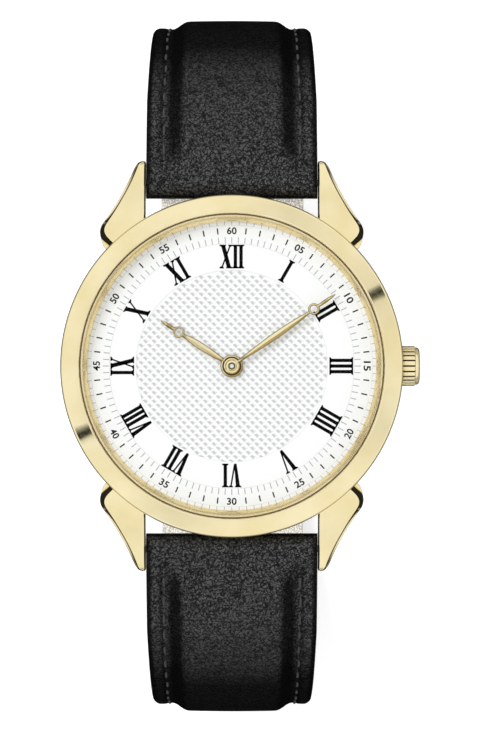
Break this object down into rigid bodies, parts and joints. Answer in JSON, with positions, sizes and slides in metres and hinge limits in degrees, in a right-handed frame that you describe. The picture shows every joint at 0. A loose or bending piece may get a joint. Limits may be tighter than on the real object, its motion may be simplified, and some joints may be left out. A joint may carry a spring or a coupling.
{
  "type": "wristwatch",
  "caption": "Round dress wristwatch: gold-coloured case, white engine-turned dial with Roman numerals, two hands, fluted crown, padded black leather strap with pin buckle",
  "frame": {"origin": "on the case axis, on the outer flat face of the caseback", "axes": "+Z out of the dial, +Y to 12 o'clock, +X to 3 o'clock and the crown"},
  "size_m": [0.042, 0.084, 0.0707],
  "materials": {
    "polished_gold": "mirror-polished warm pale gold plating",
    "hand_gold": "polished gold, faceted with a centre ridge",
    "mineral_glass": "clear, flat, polished",
    "gasket_rubber": "smooth black",
    "gasket_amber": "amber nylon ring",
    "caseback_steel": "finely brushed in circles",
    "steel": "turned bright steel",
    "dial_white": "satin white lacquer with black printed scales and engine-turned centre",
    "movement_brass": "satin",
    "white_plastic": "moulded",
    "board_green": "printed circuit board",
    "black_plastic": "moulded",
    "insulator_film": "thin film",
    "black_leather": "black grained calf with slight sheen, dark grey stitching",
    "lining_leather": "smooth pale cream lining leather",
    "filler_felt": "padding"
  },
  "bodies": {
    "case": {"case_middle": "polished_gold", "bezel": "polished_gold", "crystal": "mineral_glass", "crystal_gasket": "gasket_amber", "rehaut_ring": "polished_gold", "caseback": "caseback_steel", "caseback_gasket": "gasket_rubber", "crown_tube": "steel", "dial": "dial_white", "dial_washer": "movement_brass", "main_plate": "movement_brass", "train_bridge": "movement_brass", "bridge_screws": "steel", "movement_holder": "white_plastic", "stator": "steel", "coil": "movement_brass", "coil_core": "steel", "circuit_board": "board_green", "quartz_crystal": "steel", "chip": "black_plastic", "battery": "steel", "battery_clamp": "steel", "battery_insulator": "insulator_film", "lever_cover": "steel", "bar_tubes": "steel", "bar_springs": "steel"},
    "minute_hand_group": {"minute_hand": "hand_gold", "cannon_pinion": "steel", "centre_wheel": "movement_brass"},
    "hour_hand_group": {"hour_hand": "hand_gold", "hour_wheel": "movement_brass"},
    "minute_wheel_b": {"minute_wheel": "movement_brass"},
    "third_wheel_b": {"third_wheel": "movement_brass"},
    "intermediate_wheel_b": {"intermediate_wheel": "movement_brass"},
    "rotor_b": {"rotor": "steel"},
    "crown_carrier": {"crown_gasket": "gasket_rubber"},
    "crown_b": {"crown": "polished_gold", "winding_stem": "steel"},
    "sliding_pinion_b": {"sliding_pinion": "steel"},
    "setting_lever_b": {"setting_lever": "steel"},
    "yoke_b": {"yoke": "steel"},
    "strap_12": {"strap_12_upper": "black_leather", "strap_12_filler": "filler_felt", "strap_12_lining": "lining_leather", "fixed_keeper": "black_leather", "bar_b_tube": "steel", "bar_b_spring": "steel"},
    "strap_6": {"strap_6_upper": "black_leather", "strap_6_filler": "filler_felt", "strap_6_lining": "lining_leather"},
    "free_keeper_b": {"free_keeper": "black_leather"},
    "buckle": {"buckle_frame": "polished_gold"},
    "tongue": {"buckle_tongue": "polished_gold"},
    "tip_12_r": {"bar_12_tip_r": "steel"},
    "tip_12_l": {"bar_12_tip_l": "steel"},
    "tip_6_r": {"bar_6_tip_r": "steel"},
    "tip_6_l": {"bar_6_tip_l": "steel"},
    "tip_b_r": {"bar_b_tip_r": "steel"},
    "tip_b_l": {"bar_b_tip_l": "steel"}
  },
  "joints": [
    {"name": "minute_hand_turn", "type": "hinge", "parent": "case", "child": "minute_hand_group", "pos_m": [0, 0, 0.005], "axis": [0, 0, -1], "continuous": true},
    {"name": "hour_hand_turn", "type": "hinge", "parent": "case", "child": "hour_hand_group", "pos_m": [0, 0, 0.0045], "axis": [0, 0, -1], "continuous": true},
    {"name": "minute_wheel_turn", "type": "hinge", "parent": "case", "child": "minute_wheel_b", "pos_m": [0.003, 0, 0.0035], "axis": [0, 0, -1], "continuous": true},
    {"name": "third_wheel_turn", "type": "hinge", "parent": "case", "child": "third_wheel_b", "pos_m": [-0.00297, 0.00297, 0.0024], "axis": [0, 0, -1], "continuous": true},
    {"name": "intermediate_wheel_turn", "type": "hinge", "parent": "case", "child": "intermediate_wheel_b", "pos_m": [-0.00117, 0.00609, 0.0021], "axis": [0, 0, -1], "continuous": true},
    {"name": "rotor_turn", "type": "hinge", "parent": "case", "child": "rotor_b", "pos_m": [-0.00159, 0.00845, 0.0026], "axis": [0, 0, -1], "continuous": true},
    {"name": "crown_pull", "type": "slide", "parent": "case", "child": "crown_carrier", "axis": [1, 0, 0], "range_m": [0, 0.0008]},
    {"name": "crown_turn", "type": "hinge", "parent": "crown_carrier", "child": "crown_b", "pos_m": [0.02, 0, 0.0027], "axis": [1, 0, 0], "continuous": true},
    {"name": "sliding_pinion_shift", "type": "slide", "parent": "crown_b", "child": "sliding_pinion_b", "axis": [1, 0, 0], "range_m": [-0.0013, 0]},
    {"name": "setting_lever_turn", "type": "hinge", "parent": "case", "child": "setting_lever_b", "pos_m": [0.0091, 0.0021, 0.0018], "axis": [0, 0, 1], "range_deg": [0, 22.41]},
    {"name": "yoke_turn", "type": "hinge", "parent": "case", "child": "yoke_b", "pos_m": [0.0075, -0.0034, 0.0027], "axis": [0, 0, 1], "range_deg": [0, 10.37]},
    {"name": "strap_12_swing", "type": "hinge", "parent": "case", "child": "strap_12", "pos_m": [0, 0.0214, 0.0024], "axis": [1, 0, 0], "range_deg": [-8, 75]},
    {"name": "strap_6_swing", "type": "hinge", "parent": "case", "child": "strap_6", "pos_m": [0, -0.0214, 0.0024], "axis": [-1, 0, 0], "range_deg": [-4, 80]},
    {"name": "buckle_turn", "type": "hinge", "parent": "strap_12", "child": "buckle", "pos_m": [0, 0.01622, -0.05251], "axis": [1, 0, 0], "range_deg": [-45, 45]},
    {"name": "tongue_turn", "type": "hinge", "parent": "buckle", "child": "tongue", "pos_m": [0, 0.01622, -0.05251], "axis": [1, 0, 0], "range_deg": [0, 48]},
    {"name": "bar_12_tip_r_in", "type": "slide", "parent": "case", "child": "tip_12_r", "axis": [-1, 0, 0], "range_m": [0, 0.0009]},
    {"name": "bar_12_tip_l_in", "type": "slide", "parent": "case", "child": "tip_12_l", "axis": [1, 0, 0], "range_m": [0, 0.0009]},
    {"name": "bar_6_tip_r_in", "type": "slide", "parent": "case", "child": "tip_6_r", "axis": [-1, 0, 0], "range_m": [0, 0.0009]},
    {"name": "bar_6_tip_l_in", "type": "slide", "parent": "case", "child": "tip_6_l", "axis": [1, 0, 0], "range_m": [0, 0.0009]},
    {"name": "bar_b_tip_r_in", "type": "slide", "parent": "strap_12", "child": "tip_b_r", "axis": [-1, 0, 0], "range_m": [0, 0.0009]},
    {"name": "bar_b_tip_l_in", "type": "slide", "parent": "strap_12", "child": "tip_b_l", "axis": [1, 0, 0], "range_m": [0, 0.0009]},
    {"name": "free_keeper_shift", "type": "hinge", "parent": "strap_12", "child": "free_keeper_b", "pos_m": [0, 0.01165, -0.02438], "axis": [1, 0, 0], "range_deg": [-8, 20]}
  ],
  "couplings": [
    {"joint": "hour_hand_turn", "follows": "minute_hand_turn", "ratio": 0.083333},
    {"joint": "minute_wheel_turn", "follows": "minute_hand_turn", "ratio": -0.33333},
    {"joint": "third_wheel_turn", "follows": "minute_hand_turn", "ratio": -6},
    {"joint": "intermediate_wheel_turn", "follows": "minute_hand_turn", "ratio": 30},
    {"joint": "rotor_turn", "follows": "minute_hand_turn", "ratio": -90},
    {"joint": "sliding_pinion_shift", "follows": "crown_pull", "ratio": -1.625},
    {"joint": "setting_lever_turn", "follows": "crown_pull", "rad_per_m": 488.69},
    {"joint": "yoke_turn", "follows": "crown_pull", "rad_per_m": 225.96}
  ]
}
